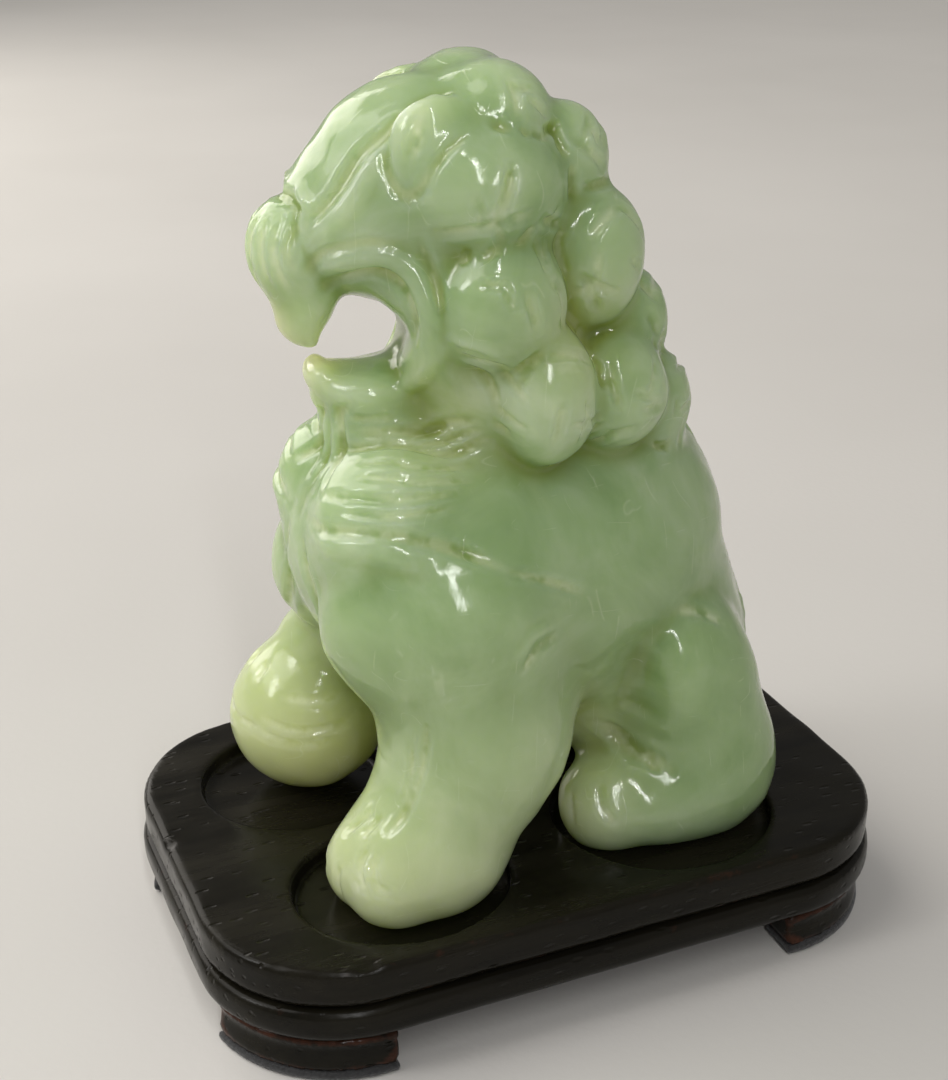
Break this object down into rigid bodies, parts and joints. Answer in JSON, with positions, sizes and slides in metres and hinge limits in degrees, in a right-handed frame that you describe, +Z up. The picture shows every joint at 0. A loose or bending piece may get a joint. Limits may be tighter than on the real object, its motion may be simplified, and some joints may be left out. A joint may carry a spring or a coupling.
{
  "type": "jade figurine",
  "caption": "Carved jade guardian lion with a pierced open mouth and a forepaw on a ball, seated in the shaped recess of a low black lacquered wooden stand on bracket feet.",
  "frame": {"origin": "on the surface it stands on, at the centre of the stand", "axes": "+Z up; the lion faces -Y; its left side is +X; the stand's long side runs along Y"},
  "size_m": [0.0486, 0.0728, 0.0873],
  "materials": {
    "jade": "polished translucent pale green jade, yellower in the thin and low parts",
    "lacquered_wood": "glossy black lacquer over dark reddish wood, open grain",
    "felt": "short black felt"
  },
  "bodies": {
    "stand": {"stand_top_board": "lacquered_wood", "stand_moulding": "lacquered_wood", "stand_foot_front_left": "lacquered_wood", "stand_foot_front_right": "lacquered_wood", "stand_foot_rear_left": "lacquered_wood", "stand_foot_rear_right": "lacquered_wood", "felt_pad_front_left": "felt", "felt_pad_front_right": "felt", "felt_pad_rear_left": "felt", "felt_pad_rear_right": "felt"},
    "figure": {"jade_lion": "jade"}
  },
  "joints": [
    {"name": "figure_lift", "type": "slide", "parent": "stand", "child": "figure", "axis": [0, 0, 1], "range_m": [0, 0.04]}
  ]
}
